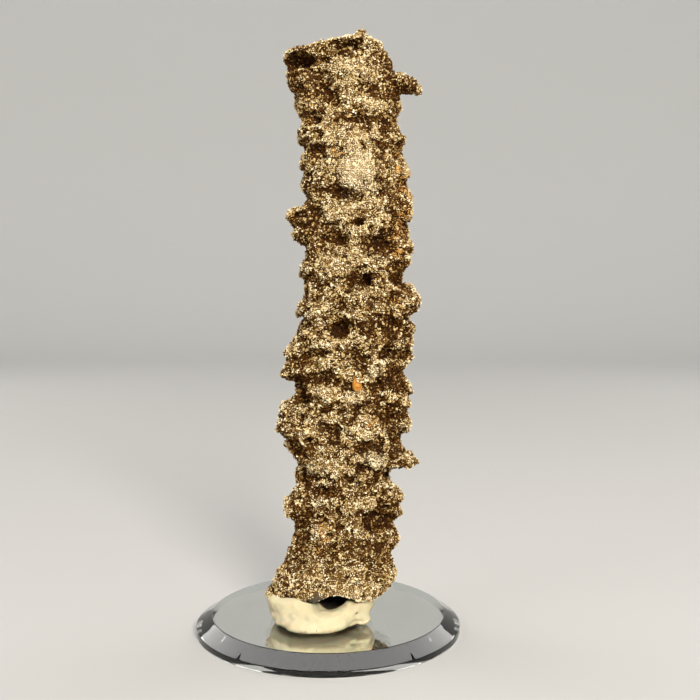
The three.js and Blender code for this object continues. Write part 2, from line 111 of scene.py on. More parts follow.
# Paler patches, and darker ones with an amount below nothing: partly the stone's own tone and partly
# painted light and shade.
TONE_AND_SHADE_PATCHES = (
    (7.8, 130.6, 5.6, 6.4, 0.9),
    (6.8, 157.0, 5.2, 3.8, 0.6),
    (12.4, 148.2, 5.2, 2.2, 0.6),
    (7.0, 140.6, 8.0, 1.5, 0.5),
    (14.5, 116.6, 2.4, 2.8, 0.5),
    (8.0, 121.2, 4.0, 2.2, 0.5),
    (9.4, 107.0, 3.0, 1.8, 0.4),
    (0.6, 98.0, 4.2, 2.8, 0.5),
    (-3.0, 80.2, 4.6, 3.6, 0.5),
    (5.4, 82.6, 3.4, 1.8, 0.5),
    (-6.0, 61.6, 4.8, 3.6, 0.5),
    (11.2, 57.6, 3.0, 2.8, 0.7),
    (-1.0, 49.0, 5.0, 2.6, 0.6),
    (11.4, 40.4, 4.8, 1.9, 0.5),
    (5.4, 35.4, 2.6, 2.8, 0.5),
    (11.8, 14.8, 4.6, 2.8, 0.4),
    (-9.0, 154.0, 3.0, 3.6, -0.8),
    (-3.5, 114.5, 4.4, 2.4, -0.6),
    (15.8, 88.0, 4.0, 5.0, -0.6),
    (20.0, 72.0, 3.2, 5.6, -0.8),
    (14.0, 64.6, 4.8, 3.6, -0.8),
    (-8.8, 24.6, 3.4, 6.4, -0.6),
    (5.0, 25.4, 16.0, 5.4, -0.7),
    (23.0, 154.6, 5.5, 5.0, -0.8),
    (-6.0, 164.0, 9.0, 1.8, -0.7),
    (9.0, 167.0, 6.0, 2.6, -0.7),
    (17.0, 161.0, 3.0, 4.0, -0.5),
)
# Hollows in the crust, whose amount is their depth in millimetres. They also darken the tone with painted
# shade and thin out the grains there.
HOLLOWS = (
    (-8.8, 160.4, 5.0, 2.4, 1.2),
    (7.0, 164.2, 4.0, 1.2, 0.8),
    (2.2, 151.0, 2.2, 1.3, 1.2),
    (9.0, 143.8, 9.5, 1.0, 1.0),
    (-3.4, 136.4, 3.0, 1.6, 1.2),
    (3.4, 124.4, 3.6, 1.6, 1.4),
    (14.8, 124.8, 1.3, 1.2, 1.8),
    (8.8, 116.6, 1.4, 1.2, 4.0),
    (-8.2, 118.8, 1.3, 1.2, 2.0),
    (15.4, 113.4, 1.6, 1.4, 1.4),
    (14.2, 110.6, 3.8, 1.9, 2.2),
    (3.2, 111.6, 2.2, 1.6, 1.6),
    (10.2, 101.0, 1.3, 1.5, 3.4),
    (20.4, 100.4, 2.8, 2.2, 1.4),
    (3.8, 87.2, 2.8, 2.6, 2.4),
    (17.4, 87.0, 2.6, 3.6, 1.0),
    (7.9, 78.4, 1.3, 2.6, 1.6),
    (15.6, 80.6, 1.8, 1.5, 2.2),
    (14.9, 72.0, 2.6, 1.8, 1.5),
    (-4.4, 68.0, 2.8, 1.6, 1.2),
    (6.6, 62.2, 1.8, 1.4, 1.2),
    (2.0, 56.2, 2.0, 1.4, 1.2),
    (14.6, 55.0, 1.6, 1.8, 1.2),
    (9.6, 49.8, 2.6, 2.0, 1.6),
    (-6.4, 44.6, 2.0, 2.2, 1.2),
    (0.6, 42.4, 4.2, 1.4, 1.2),
    (14.0, 33.2, 6.4, 2.6, 2.2),
    (-8.2, 33.4, 3.0, 2.2, 1.2),
)


# ---- properties ----


def length(name, description, millimetres):
    """A length that a user may change."""
    return FloatProperty(
        name=name,
        description=description,
        default=millimetres * MM,
        subtype="DISTANCE",
        unit="LENGTH",
    )


def tint(name, description, colour):
    """A colour that a user may change."""
    return FloatVectorProperty(name=name, description=description, subtype="COLOR", default=colour)


class CrustSettings(bpy.types.PropertyGroup):
    """Sizes and colours of the fused crust."""

    skin: length("Skin spacing", "Edge length of the even skin laid over the solid", 0.6)
    nodule_size: length("Nodule size", "Spacing of the largest nodules", 4.4)
    nodule_height: length("Nodule height", "How far the largest nodules stand out", 1.2)
    knob_size: length("Knob size", "Spacing of the small knobs on the nodules", 2.2)
    knob_height: length("Knob height", "How far the small knobs stand out", 0.4)
    pit_depth: length("Pit depth", "Depth of the largest round pits", 2.0)
    crack_depth: length("Crack depth", "Depth of the clefts between lumps", 0.6)
    seed: IntProperty(name="Seed", description="Layout of nodules and pits", default=7)
    # The darkest crust colour: brown glass in the hollows, and the painted shade of the tone.
    hollow_and_shade_colour: tint("Hollow colour", "Brown glass in the hollows", (0.022, 0.0065, 0.0010))
    ridge_colour: tint("Ridge colour", "Dusty glass on the nodules", (0.22, 0.125, 0.042))
    fleck_colour: tint("Fleck colour", "Fine sand between the grains", (0.24, 0.14, 0.048))
    rust_colour: tint("Rust colour", "Rusty stains", (0.26, 0.10, 0.025))
    chalk_colour: tint("Chalk colour", "Whitish dust on some nodules", (0.42, 0.33, 0.20))
    lumen_colour: tint("Lumen colour", "Smooth dark glass that lines the tube", (0.035, 0.032, 0.028))
    streak_colour: tint("Streak colour", "Paler streaks along the tube", (0.10, 0.09, 0.075))


class GrainSettings(bpy.types.PropertyGroup):
    """Sizes of the sand grains that stick in the crust, and the colour of their dust."""

    spacing: length("Spacing", "Least distance between two grains", 0.42)
    smallest: length("Smallest grain", "Radius of the smallest grain", 0.15)
    largest: length("Largest grain", "Radius of the largest grain", 0.36)
    proud: length("Proud", "How far a grain's middle stands above the skin", 0.06)
    seed: IntProperty(name="Seed", description="Layout of the grains", default=3)
    dust_colour: tint("Dust colour", "Whitish dust on the grains of some nodules", (0.84, 0.73, 0.50))


class PebbleSettings(bpy.types.PropertyGroup):
    """Sizes and colours of the orange pebble."""

    width: length("Width", "Half its width", 1.3)
    depth: length("Depth", "Half its depth", 1.0)
    height: length("Height", "Half its height", 1.9)
    proud: length("Proud", "How far its middle stands out of the crust", 0.4)
    lean: FloatProperty(
        name="Lean",
        description="How far its top leans to the left",
        default=math.radians(6),
        subtype="ANGLE",
        unit="ROTATION",
    )
    vein_colour: tint("Vein colour", "Its darkest veins", (0.36, 0.11, 0.008))
    middle_colour: tint("Middle colour", "Most of the stone", (0.53, 0.21, 0.020))
    pale_colour: tint("Pale colour", "Its palest patches", (0.68, 0.34, 0.055))


class PuttySettings(bpy.types.PropertyGroup):
    """Sizes and colours of the mounting putty."""

    skin: length("Skin spacing", "Edge length of the even skin laid over the solid", 0.38)
    crease_depth: length("Crease depth", "Depth of the creases between folded layers", 0.8)
    colour: tint("Colour", "Clean putty", (0.70, 0.61, 0.39))
    cloud_colour: tint("Cloud colour", "Duller clouds in the putty", (0.60, 0.53, 0.33))
    smear_colour: tint("Smear colour", "Grey smears of dust worked into the putty", (0.30, 0.31, 0.27))
    # This colour paints both the specks of dirt and the shade in the hollow on top.
    dirt_and_shade_colour: tint("Dirt colour", "Specks of dirt and the hollow on top", (0.03, 0.022, 0.014))


class MirrorSettings(bpy.types.PropertyGroup):
    """Sizes of the bevelled mirror that the frame's plain solid leaves out."""

    segments: IntProperty(name="Segments", description="Sides of the round glass", default=256)
    bevel_width: length("Bevel width", "Width of the sloped edge", 4.5)
    rim_height: length("Rim height", "Height of the upright edge below the bevel", 2.0)
    edge_round: length("Edge rounding", "Radius of the ground edges", 0.12)
    film_gap: length("Film gap", "Distance that keeps the glass clear of the silver film", 0.05)


class StageSettings(bpy.types.PropertyGroup):
    """Camera, floor and lights."""

    eye: FloatVectorProperty(
        name="Eye",
        description="Place of the camera",
        subtype="TRANSLATION",
        unit="LENGTH",
        default=(6.3 * MM, -272 * MM, 98 * MM),
    )
    tilt: FloatProperty(
        name="Tilt",
        description="How far the camera looks down",
        default=math.radians(3.6),
        subtype="ANGLE",
        unit="ROTATION",
    )
    lens: FloatProperty(
        name="Lens",
        description="Focal length in millimetres on a sensor 36 mm wide",
        default=48.86,
    )
    floor_colour: tint("Floor colour", "Pale floor", (0.47, 0.465, 0.455))
    wall_colour: tint("Wall colour", "Pale wall that the floor rises into", (0.80, 0.80, 0.79))
    sky: FloatProperty(name="Sky", description="Strength of the even light from all round", default=0.2)
    key: FloatProperty(name="Key", description="Watts of the light in front", default=6.5)
    fill: FloatProperty(name="Fill", description="Watts of the light at the left", default=1.15)
    wall: FloatProperty(name="Wall", description="Watts of the light on the wall behind", default=6.0)
    arc: FloatProperty(name="Arc", description="Watts of each panel of the arc overhead", default=0.8)


# ---- numbers and noise ----


def smoothstep(low, high, value):
    """A soft step from 0 below low to 1 above high."""
    share = np.clip((value - low) / (high - low), 0, 1)
    return share * share * (3 - 2 * share)


def hashed(cells, seed):
    """One fixed random number from 0 to 1 for each whole-number cell."""
    mixed = cells.astype(np.uint64) * np.array([73856093, 19349663, 83492791], np.uint64)
    value = mixed[:, 0] ^ mixed[:, 1] ^ mixed[:, 2] ^ np.uint64(seed * 2654435761)
    for shift in (33, 29, 32):
        value = (value ^ (value >> np.uint64(shift))) * np.uint64(0x9E3779B97F4A7C15)
    return (value >> np.uint64(11)).astype(float) / 2**53


def drift(points, size, seed):
    """Smooth noise from -1 to 1 with features of that size."""
    scaled = points / size
    base = np.floor(scaled)
    share = scaled - base
    share = share * share * (3 - 2 * share)
    base = base.astype(np.int64)
    total = np.zeros(len(points))
    for corner in itertools.product((0, 1), repeat=3):
        weight = np.prod(np.where(corner, share, 1 - share), axis=1)
        total += weight * hashed(base + np.array(corner), seed)
    return 2 * total - 1


def cells(points, size, seed):
    """Distances to the nearest and second nearest scattered centres, in sizes, and the nearest's luck."""
    scaled = points / size
    base = np.floor(scaled).astype(np.int64)
    nearest = np.full(len(points), np.inf)
    second = np.full(len(points), np.inf)
    luck = np.zeros(len(points))
    for step in itertools.product((-1, 0, 1), repeat=3):
        cell = base + np.array(step)
        centre = cell + np.stack([hashed(cell, seed + axis) for axis in (11, 12, 13)], axis=1)
        distance = np.linalg.norm(scaled - centre, axis=1)
        closer = distance < nearest
        second = np.where(closer, nearest, np.minimum(second, distance))
        nearest = np.where(closer, distance, nearest)
        luck = np.where(closer, hashed(cell, seed + 14), luck)
    return nearest, second, luck


def domes(points, size, seed):
    """Rounded bumps, one to a cell, from 0 between them to 1 on the highest."""
    nearest, _, luck = cells(points, size, seed)
    return np.sqrt(np.clip(1 - (nearest / 0.72) ** 2, 0, 1)) * (0.3 + 0.7 * luck)


def clefts(points, size, seed):
    """Narrow lines between neighbouring cells, 1 in the middle of a line and 0 away from it."""
    nearest, second, _ = cells(points, size, seed)
    return 1 - smoothstep(0, 0.22, second - nearest)


def holes(points, size, seed, share, radius):
    """Round holes in a share of the cells, 1 in the middle of a hole and 0 outside its radius."""
    nearest, _, luck = cells(points, size, seed)
    return np.where(luck < share, 1 - smoothstep(0.35 * radius, radius, nearest), 0)


# ---- meshes ----


def array_of(items, name, width, kind=np.float32):
    """One property of every item of a mesh collection, as rows."""
    found = np.empty(len(items) * width, kind)
    items.foreach_get(name, found)
    return found.reshape(-1, width)


def points_of(mesh):
    return array_of(mesh.vertices, "co", 3).astype(float)


def edges_of(mesh):
    return array_of(mesh.edges, "vertices", 2, np.int32)


def normals_of(mesh):
    return array_of(mesh.vertex_normals, "vector", 3).astype(float)


def set_points(mesh, points):
    mesh.vertices.foreach_set("co", points.astype(np.float32).ravel())
    mesh.update()


def store(mesh, name, values):
    """Keeps one number for each vertex under a name that the materials read."""
    layer = mesh.attributes.new(name, "FLOAT", "POINT")
    layer.data.foreach_set("value", values.astype(np.float32))


def relaxed(values, edges, rounds):
    """Rows of vertex values, each drawn halfway to the mean of its neighbours in every round."""
    count = np.bincount(edges.ravel(), minlength=len(values))[:, None]
    for _ in range(rounds):
        total = np.stack(
            [
                np.bincount(edges[:, 0], column[edges[:, 1]], len(values))
                + np.bincount(edges[:, 1], column[edges[:, 0]], len(values))
                for column in values.T
            ],
            axis=1,
        )
        values = 0.5 * values + 0.5 * total / count
    return values


def softened(points, edges, rounds):
    """Points with the solid's flat faces smoothed away and most of the lost size given back."""
    soft = relaxed(points, edges, rounds)
    return soft + 0.7 * (soft - relaxed(soft, edges, rounds))


def linked(name, mesh):
    """A new object for a finished mesh, at the origin."""
    piece = bpy.data.objects.new(name, mesh)
    bpy.context.scene.collection.objects.link(piece)
    return piece


def evaluated_mesh(piece):
    """A plain mesh of what a piece's modifiers give."""
    depsgraph = bpy.context.evaluated_depsgraph_get()
    return bpy.data.meshes.new_from_object(piece.evaluated_get(depsgraph), depsgraph=depsgraph)


def even_skin(node, spacing):
    """A closed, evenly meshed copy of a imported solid."""
    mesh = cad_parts[node].data.copy()
    mesh.materials.clear()
    shape = bmesh.new()
    shape.from_mesh(mesh)
    bmesh.ops.remove_doubles(shape, verts=shape.verts, dist=0.001 * MM)
    shape.to_mesh(mesh)
    shape.free()
    holder = linked("skin", mesh)
    remesh = holder.modifiers.new("Even skin", "REMESH")
    remesh.mode = "VOXEL"
    remesh.voxel_size = spacing
    remesh.use_smooth_shade = True
    skin = evaluated_mesh(holder)
    bpy.data.objects.remove(holder)
    bpy.data.meshes.remove(mesh)
    return skin


def lathed(name, profile, segments):
    """A closed solid turned about Z from (radius, height) points that start and end on the axis."""
    ring = np.linspace(0, 2 * math.pi, segments, endpoint=False)
    inner = profile[1:-1]
    points = [(0, 0, profile[0][1])]
    for radius, height in inner:
        points += [(radius * math.cos(a), radius * math.sin(a), height) for a in ring]
    points.append((0, 0, profile[-1][1]))
    last = len(points) - 1
    faces = []
    for i in range(segments):
        j = (i + 1) % segments
        faces.append((0, 1 + j, 1 + i))
        top = 1 + (len(inner) - 1) * segments
        faces.append((last, top + i, top + j))
        for k in range(len(inner) - 1):
            low = 1 + k * segments
            high = low + segments
            faces.append((low + i, low + j, high + j, high + i))
    mesh = bpy.data.meshes.new(name)
    mesh.from_pydata(points, [], faces)
    mesh.update()
    return mesh


def finished(piece, slot, *nodes):
    """Puts a piece on what it rides on and hides the solids that it stands for. Its slot is not used."""
    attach(piece, BODY)
    if nodes:
        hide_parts(*nodes)


# ---- node trees ----


class Tree:
    """A node tree with short ways to add nodes and join them."""

    def __init__(self, tree):
        self.tree = tree

    def add(self, kind, inputs=(), **settings):
        """A new node with its settings, then values or links for its inputs by name or place."""
        node = self.tree.nodes.new(kind)
        for name, value in settings.items():
            setattr(node, name, value)
        for name, value in dict(inputs).items():
            self.feed(node.inputs[name], value)
        return node

    def feed(self, socket, value):
        """Gives a socket a link from another socket, or a plain value."""
        if isinstance(value, bpy.types.NodeSocket):
            self.tree.links.new(value, socket)
        else:
            socket.default_value = value

    def math(self, operation, *values, kind="ShaderNodeMath", clamp=False):
        """The result of a maths node."""
        node = self.add(kind, dict(enumerate(values)), operation=operation)
        if clamp:
            node.use_clamp = True
        return node.outputs[0]

    def plus(self, first, second, clamp=False):
        """The sum of two numbers."""
        return self.math("ADD", first, second, clamp=clamp)

    def minus(self, first, second, clamp=False):
        """The first number less the second."""
        return self.math("SUBTRACT", first, second, clamp=clamp)

    def times(self, first, second, clamp=False):
        """The product of two numbers."""
        return self.math("MULTIPLY", first, second, clamp=clamp)

    def vector(self, operation, *values):
        """The result of a vector maths node."""
        return self.math(operation, *values, kind="ShaderNodeVectorMath")

    def scale(self, vector, factor):
        """A vector made longer or shorter."""
        scaled = self.vector("SCALE", vector)
        self.feed(scaled.node.inputs["Scale"], factor)
        return scaled

    def blend(self, share, first, second, mode="MIX"):
        """Two colours mixed by a share."""
        node = self.tree.nodes.new("ShaderNodeMix")
        node.data_type = "RGBA"
        node.blend_type = mode
        colours = [s for s in node.inputs if s.type == "RGBA"]
        self.feed(node.inputs[0], share)
        self.feed(colours[0], first)
        self.feed(colours[1], second)
        return next(s for s in node.outputs if s.type == "RGBA")

    def ramp(self, value, stops, ease="EASE"):
        """A colour ramp from (place, colour) stops."""
        node = self.add("ShaderNodeValToRGB", {0: value})
        elements = node.color_ramp.elements
        node.color_ramp.interpolation = ease
        while len(elements) < len(stops):
            elements.new(0.5)
        for element, (place, colour) in zip(elements, stops):
            element.position = place
            element.color = (*colour, 1)
        return node.outputs[0]

    def noise(self, place, size, detail=2.0, roughness=0.5):
        """Noise with features of that size, from 0 to 1."""
        node = self.add(
            "ShaderNodeTexNoise",
            {"Vector": place, "Scale": 1 / size, "Detail": detail, "Roughness": roughness},
        )
        return node.outputs[0]

    def bump(self, height, strength, distance):
        """A normal that a height field roughens."""
        values = {"Height": height, "Strength": strength, "Distance": distance}
        return self.add("ShaderNodeBump", values).outputs[0]

    def attribute(self, name):
        """A stored vertex number, as materials read it."""
        return self.add("ShaderNodeAttribute", attribute_name=name).outputs["Fac"]

    def stored(self, name, kind="FLOAT"):
        """A stored number or vector, as geometry nodes read it."""
        return self.add("GeometryNodeInputNamedAttribute", {"Name": name}, data_type=kind).outputs[0]

    def keep(self, geometry, name, value, kind="FLOAT_VECTOR", domain="POINT"):
        """Geometry that keeps a value under a name."""
        values = {"Geometry": geometry, "Name": name, "Value": value}
        node = self.add("GeometryNodeStoreNamedAttribute", values, data_type=kind, domain=domain)
        return node.outputs[0]

    def random_number(self, low, high, seed):
        """A random number for each point."""
        node = self.add("FunctionNodeRandomValue", {"Seed": seed}, data_type="FLOAT")
        lowest, highest = [s for s in node.inputs if s.type == "VALUE"][:2]
        self.feed(lowest, low)
        self.feed(highest, high)
        return next(s for s in node.outputs if s.type == "VALUE")

    def random_vector(self, low, high, seed):
        """A random vector for each point or corner."""
        values = {"Min": low, "Max": high, "Seed": seed}
        return self.add("FunctionNodeRandomValue", values, data_type="FLOAT_VECTOR").outputs[0]


def material(name, plain):
    """A material whose shader has plain values, its tree, its shader and its Object coordinates."""
    made = bpy.data.materials.new(name)
    made.use_nodes = True
    tree = Tree(made.node_tree)
    shader = made.node_tree.nodes["Principled BSDF"]
    for socket, value in plain.items():
        shader.inputs[socket].default_value = value
    place = tree.add("ShaderNodeTexCoord").outputs["Object"]
    return made, tree, shader, place


def node_group(name, kind, inputs, output):
    """A node group's tree, what its inputs give and the socket that takes its result.

    The inputs and the output are given as names, each with its kind of socket.
    """
    group = bpy.data.node_groups.new(name, kind)
    for way, sockets in (("INPUT", inputs), ("OUTPUT", output)):
        for label, socket in sockets.items():
            group.interface.new_socket(label, in_out=way, socket_type=f"NodeSocket{socket}")
    tree = Tree(group)
    given = tree.add("NodeGroupInput").outputs
    return tree, given, tree.add("NodeGroupOutput").inputs[0]


def four(colour):
    """A colour property with its alpha, as node sockets take it."""
    return (*colour, 1)


def grain_mottle():
    """Colour variation from one grain or patch to the next, shared by the crust and its grains."""
    inputs = {
        "Place": "Vector",
        "Dark": "Color",
        "Light": "Color",
        "Share": "Float",
        "Patch size": "Float",
    }
    output = {"Colour": "Color"}
    tree, given, result = node_group("Sand mottle", "ShaderNodeTree", inputs, output)
    scale = tree.math("DIVIDE", 1.0, given["Patch size"])
    patches = tree.add(
        "ShaderNodeTexNoise",
        {"Vector": given["Place"], "Scale": scale, "Detail": 3.0, "Roughness": 0.6},
    ).outputs[0]
    centred = tree.minus(patches, 0.5)
    share = tree.plus(given["Share"], tree.times(centred, 1.2), clamp=True)
    tree.feed(result, tree.blend(share, given["Dark"], given["Light"]))
    return tree.tree


def mottled(tree, mottle, place, dark, light, share, patch):
    """The mottle's colour between a dark and a light one."""
    values = {
        "Place": place,
        "Dark": four(dark),
        "Light": four(light),
        "Share": share,
        "Patch size": patch,
    }
    return tree.add("ShaderNodeGroup", values, node_tree=mottle).outputs[0]


# ---- the crust ----


def from_axis(points):
    """How far each point is from the lumen's axis along X and along Y."""
    heights, axes = zip(*LUMEN_AXIS)
    return points[:, 0] - np.interp(points[:, 2], heights, axes), points[:, 1] - LUMEN_Y


def lumen_share(points, normals):
    """1 on the wall of the lumen, 0 on the outside and the broken ends."""
    out_x, out_y = from_axis(points)
    reach = np.hypot(out_x, out_y)
    facing = (normals[:, 0] * out_x + normals[:, 1] * out_y) / np.maximum(reach, 0.1 * MM)
    return np.where(reach < LUMEN_REACH, 1 - smoothstep(-0.5, -0.15, facing), 0)


def spotted(points, spots):
    """What a list of spots on the front adds up to at each point."""
    x, y, z = (points / MM).T
    front = 1 - smoothstep(-4, 3, y)
    ragged = 1 + 0.3 * drift(points, 2.2 * MM, 130)
    total = np.zeros(len(points))
    for centre_x, centre_z, half_width, half_height, amount in spots:
        away = np.hypot((x - centre_x) / half_width, (z - centre_z) / half_height)
        total += amount * (1 - smoothstep(0.2, 1.25, away * ragged))
    return total * front


def painted_side_shade(points):
    """1 on the left and right sides of the tube, 0 in the middle of its front and back: where the tone
    gets painted shade on its sides.
    """
    out_x, out_y = from_axis(points)
    return smoothstep(0.4, 1.0, np.abs(out_x) / np.hypot(out_x, out_y))


def crust_relief(settings, base):
    """How far the crust stands out from its base, and the painted shade that darkens its pits and clefts.
    """
    squat = base * np.array([1, 1, 1.4])
    seed = settings.seed
    size = settings.nodule_size
    nodules = domes(squat, size, seed)
    knobs = domes(squat, settings.knob_size, seed + 20)
    cracks = clefts(squat, 0.8 * size, seed + 50)
    pits = holes(squat, 1.3 * size, seed + 60, share=0.5, radius=0.32)
    pores = holes(squat, 0.6 * size, seed + 70, share=0.4, radius=0.34)
    raised = settings.nodule_height * (nodules - 0.4) - CRUST_SUNK
    raised += settings.knob_height * (knobs - 0.35)
    for height, width, layer in CRUST_LUMPS:
        raised += height * drift(base, width, seed + layer)
    raised -= settings.crack_depth * cracks
    raised -= settings.pit_depth * np.maximum(pits, 0.5 * pores)
    # The second value is painted shade for the pits, pores and clefts.
    return raised, 0.8 * np.maximum(pits, 0.7 * pores) + 0.25 * cracks


def crust_mesh(settings):
    """The fulgurite's solid with nodules, clefts and pits, and the numbers its materials read."""
    mesh = even_skin("fulgurite", settings.skin)
    edges = edges_of(mesh)
    base = softened(points_of(mesh), edges, 5)
    set_points(mesh, base)
    normals = normals_of(mesh)
    lip = spotted(base, GLASSY_LIP)
    inside = np.maximum(lumen_share(base, normals), smoothstep(0.1, 0.4, lip))
    inside = relaxed(inside[:, None], edges, 3)[:, 0]
    outside = 1 - inside
    strength = np.interp(base[:, 2], *zip(*RELIEF_STRENGTH))
    seed = settings.seed

    # The form: relief on the outside, long flutes in the lumen, and lumps that sag a little.
    raised, painted_shade = crust_relief(settings, base)
    hollow = spotted(base, HOLLOWS)
    raised -= hollow * MM
    flutes = 0.25 * MM * drift(base * np.array([1, 1, 0.25]), 2.4 * MM, seed + 90)
    raised = outside * strength * raised + inside * flutes
    sag = np.array([0, 0, -0.35]) * np.maximum(raised, 0)[:, None] * outside[:, None]
    grown = base + normals * raised[:, None] + sag + lip[:, None] * np.array(LIP_PUSH) * MM
    set_points(mesh, grown)

    # The tone: pale where the crust stands out and dark in its recesses, partly darker glass there and
    # partly painted shade; painted shade also darkens its pits, under its ledges and its sides.
    near = relaxed(grown, edges, 10)
    far = relaxed(near, edges, 50)
    fine = np.einsum("ij,ij->i", grown - near, normals) / (0.30 * MM)
    broad = np.einsum("ij,ij->i", near - far, normals) / (0.9 * MM)
    # Painted shade under the ledges, where the skin faces down.
    painted_shade += 0.45 * smoothstep(0.2, 0.75, -normals_of(mesh)[:, 2])
    tone_with_painted_shade = 0.60 + 0.18 * fine + 0.38 * broad - outside * strength * painted_shade
    tone_with_painted_shade += 0.09 * drift(grown, 9 * MM, seed + 110) + 0.08 * drift(grown, 4 * MM, seed + 120)
    # The hollows are darkened here with painted shade, and the patches shift the tone, partly with
    # painted light and shade.
    tone_with_painted_shade += 0.35 * spotted(grown, TONE_AND_SHADE_PATCHES) - 0.3 * hollow
    bare = 0.45 * smoothstep(0.9, 1.8, hollow) + 0.35 * smoothstep(2.2, 3.4, hollow)
    cover = outside * (0.75 + 0.25 * smoothstep(0.0, 0.4, tone_with_painted_shade)) * (1 - bare)
    # Painted shade darkens the sides of the tube.
    tone_with_painted_shade = np.clip(tone_with_painted_shade - 0.3 * painted_side_shade(grown), 0, 1)
    patchy = smoothstep(-0.35, 0.45, drift(grown, 1.7 * MM, seed + 100))
    store(mesh, "tone_with_painted_shade", tone_with_painted_shade)
    store(mesh, "inside", inside)
    store(mesh, "rust", patchy * spotted(grown, RUST_STAINS))
    store(mesh, "chalk", spotted(grown, CHALK_SPOTS))
    store(mesh, "cover", cover)
    return mesh


def crust_material(settings, mottle):
    """Brown glass full of sand: dark in the hollows and where shade is painted into the tone, dusty on
    the nodules, smooth in the lumen.
    """
    made, tree, shader, place = material("Fused sand", {"Specular IOR Level": 0.08})
    tone_with_painted_shade = tree.attribute("tone_with_painted_shade")
    inside = tree.attribute("inside")
    rust = tree.attribute("rust")
    chalk = tree.attribute("chalk")
    speckle = tree.noise(place, 0.5 * MM, 2.0, 0.6)
    # The tone carries painted shade, so the sand, its stains and its flecks darken where shade is
    # painted.
    lifted = tree.minus(tone_with_painted_shade, 0.25)
    level = tree.plus(lifted, tree.times(tree.minus(speckle, 0.5), 1.4))
    sand = mottled(tree, mottle, place, settings.hollow_and_shade_colour, settings.ridge_colour, level, 5 * MM)
    stain = tree.times(tree.times(rust, 0.55), tone_with_painted_shade)
    rusted = tree.blend(stain, sand, four(settings.rust_colour))
    dust = tree.times(tree.times(chalk, 0.85), level)
    chalky = tree.blend(dust, rusted, four(settings.chalk_colour))
    fleck = tree.minus(tree.noise(place, 0.34 * MM, 1.0, 0.5), 0.56)
    sharp = tree.times(fleck, 6.0, clamp=True)
    flecks = tree.times(sharp, tree.plus(tone_with_painted_shade, 0.25))
    flecked = tree.blend(flecks, chalky, four(settings.fleck_colour))
    streaks = tree.noise(tree.vector("MULTIPLY", place, (1, 1, 0.2)), 3 * MM, 3.0)
    glass = tree.blend(streaks, four(settings.lumen_colour), four(settings.streak_colour))
    tree.feed(shader.inputs["Base Color"], tree.blend(inside, flecked, glass))
    rough = tree.minus(0.95, tree.times(tree.noise(place, 2.2 * MM), 0.3))
    tree.feed(
        shader.inputs["Roughness"],
        tree.minus(rough, tree.times(inside, 0.45), clamp=True),
    )
    tree.feed(shader.inputs["Normal"], tree.bump(speckle, 0.8, 0.12 * MM))
    return made


class FULGURITE_OT_crust(bpy.types.Operator):
    """Build the fused crust over the fulgurite's solid"""

    bl_idname = "fulgurite.crust"
    bl_label = "Crust"

    def execute(self, context):
        settings = context.scene.fulgurite_crust
        crust = linked("crust", crust_mesh(settings))
        crust.data.materials.append(crust_material(settings, grain_mottle()))
        finished(crust, "fused_sand", "fulgurite")
        return {"FINISHED"}


# ---- the sand grains ----

# A tone from here on is a grain in a rust stain.
RUST_TONE = 2.0
# Each kind of grain: name, the tone it begins and ends at, its dark and light colours, its
# roughness and its specular level.
GRAIN_KINDS = (
    ("umber_grains", 0.0, 0.11, (0.045, 0.013, 0.0010), (0.13, 0.050, 0.007), 0.50, 0.05),
    ("smoky_grains", 0.11, 0.28, (0.090, 0.034, 0.005), (0.27, 0.137, 0.034), 0.48, 0.12),
    ("honey_grains", 0.28, 0.50, (0.30, 0.18, 0.055), (0.60, 0.41, 0.16), 0.42, 0.3),
    ("golden_grains", 0.50, 0.76, (0.56, 0.41, 0.175), (0.86, 0.68, 0.35), 0.36, 0.4),
    ("pale_grains", 0.76, RUST_TONE, (0.78, 0.63, 0.35), (0.97, 0.87, 0.62), 0.28, 0.55),
    ("rusty_grains", RUST_TONE, 2 * RUST_TONE, (0.38, 0.15, 0.02), (0.86, 0.50, 0.14), 0.38, 0.4),
)
GRAIN_SHAPES = 6
# How much of half a map cell one grain fills.
LEAF_RADIUS = 0.44


def grain_shape(tree, number):
    """One angular grain of about a millimetre, its corners moved, with its own flat map."""
    if number % 2:
        made = tree.add("GeometryNodeMeshCube", {"Size": (1.5, 1.5, 1.5)})
    else:
        made = tree.add("GeometryNodeMeshUVSphere", {"Radius": 1.1, "Segments": 4, "Rings": 2})
    moved = tree.random_vector((-0.25, -0.25, -0.25), (0.25, 0.25, 0.25), 50 + number)
    shape = tree.add("GeometryNodeSetPosition", {"Geometry": made.outputs["Mesh"], "Offset": moved})
    # Its map: a disc round its top that gives each part its fair share, inside a cell one unit wide.
    toward = tree.vector("NORMALIZE", tree.add("GeometryNodeInputPosition").outputs[0])
    height = tree.add("ShaderNodeSeparateXYZ", {0: toward}).outputs[2]
    reach = tree.math("SQRT", tree.math("DIVIDE", tree.minus(1.0, height), 2.0))
    around = tree.vector("NORMALIZE", tree.vector("MULTIPLY", toward, (1, 1, 0)))
    leaf = tree.scale(around, tree.times(reach, LEAF_RADIUS))
    kept = tree.keep(shape.outputs[0], "leaf", tree.vector("ADD", leaf, (0.5, 0.5, 0)))
    return tree.add("GeometryNodeGeometryToInstance", {0: kept}).outputs[0]


